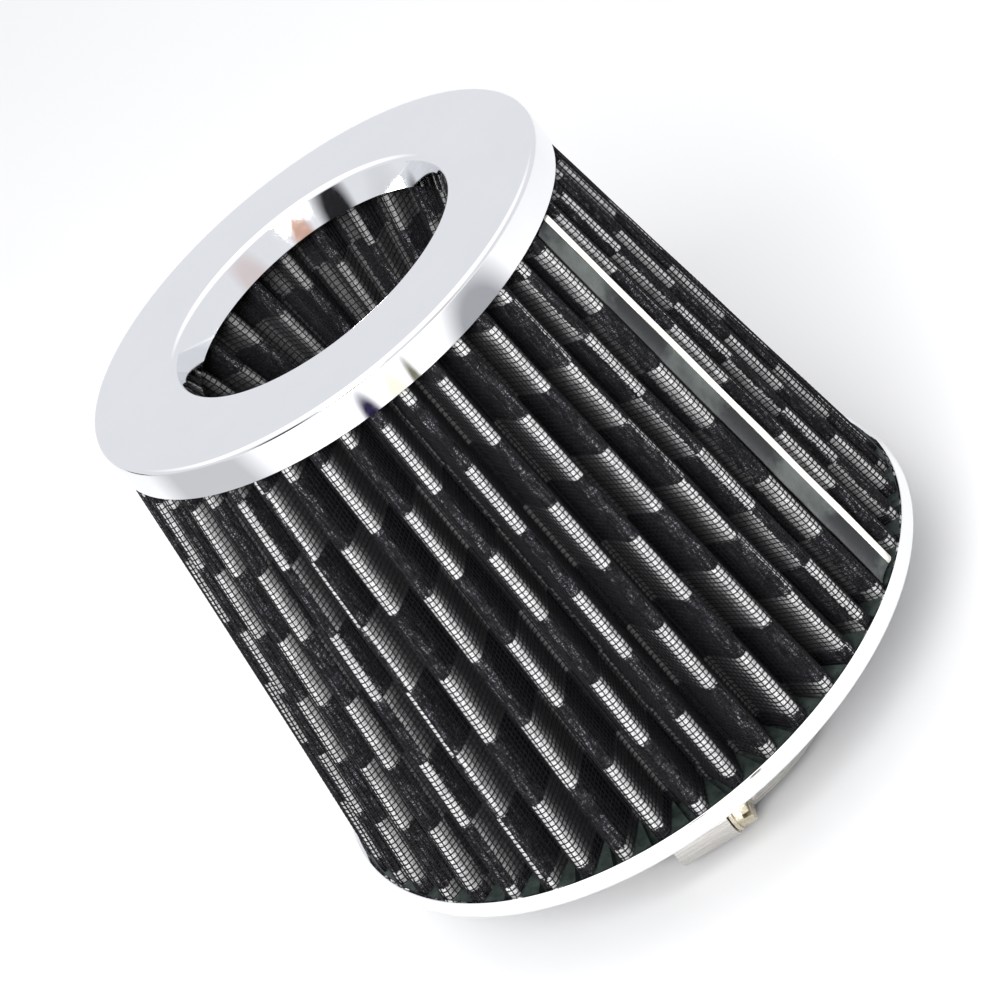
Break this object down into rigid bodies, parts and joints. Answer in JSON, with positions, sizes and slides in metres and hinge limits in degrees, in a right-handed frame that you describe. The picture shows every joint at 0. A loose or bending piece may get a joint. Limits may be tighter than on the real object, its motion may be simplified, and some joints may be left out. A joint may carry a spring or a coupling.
{
  "type": "cone air filter",
  "caption": "Clamp-on pleated cone air filter with an open chrome ring and an inner reverse cone on top, a chrome base pan and a rubber neck with a worm-drive clamp.",
  "frame": {"origin": "centre of the neck's mouth, on the filter's axis", "axes": "+Z along the axis from the neck to the open chrome ring; the clamp's screw lies on the -Y side, 14 degrees towards -X"},
  "size_m": [0.15, 0.15, 0.146],
  "materials": {
    "chrome": "bright chrome plate",
    "printed_gauze": "oiled cotton gauze printed with staggered silver patches on black",
    "black_wire": "black coated woven wire",
    "zinc_wire": "zinc coated woven wire",
    "dark_resin": "cast polyurethane, satin",
    "clear_film": "clear adhesive film",
    "cream_bead": "cream hot-melt adhesive",
    "neck_rubber": "moulded rubber, satin",
    "band_steel": "rolled stainless strip",
    "screw_zinc": "yellow zinc plate"
  },
  "bodies": {
    "filter": {"top_ring": "chrome", "base_pan": "chrome", "inner_cone_cap": "chrome", "outer_mesh": "black_wire", "outer_media": "printed_gauze", "outer_backing_mesh": "zinc_wire", "seam_film": "clear_film", "seam_bead": "cream_bead", "inner_cone_mesh": "black_wire", "inner_cone_media": "printed_gauze", "inner_cone_backing_mesh": "zinc_wire", "inner_cone_seam_bead": "cream_bead", "ring_resin": "dark_resin", "pan_resin": "dark_resin", "inner_cone_cap_resin": "dark_resin", "neck": "neck_rubber"},
    "clamp": {"clamp_band": "band_steel", "clamp_housing": "band_steel"},
    "clamp_tail": {"clamp_tail": "band_steel"},
    "clamp_screw": {"clamp_screw": "screw_zinc"}
  },
  "joints": [
    {"name": "clamp_swivel", "type": "hinge", "parent": "filter", "child": "clamp", "pos_m": [0, 0, 0.008], "axis": [0, 0, 1], "continuous": true},
    {"name": "screw_turn", "type": "hinge", "parent": "clamp", "child": "clamp_screw", "pos_m": [-0.01153, -0.04626, 0.008], "axis": [-0.9703, 0.2419, 0], "range_deg": [-720, 720]},
    {"name": "tail_slide_round", "type": "hinge", "parent": "clamp", "child": "clamp_tail", "pos_m": [0, 0, 0.008], "axis": [0, 0, 1], "range_deg": [-8.6, 8.6]}
  ],
  "couplings": [
    {"joint": "tail_slide_round", "follows": "screw_turn", "ratio": 0.01174}
  ]
}
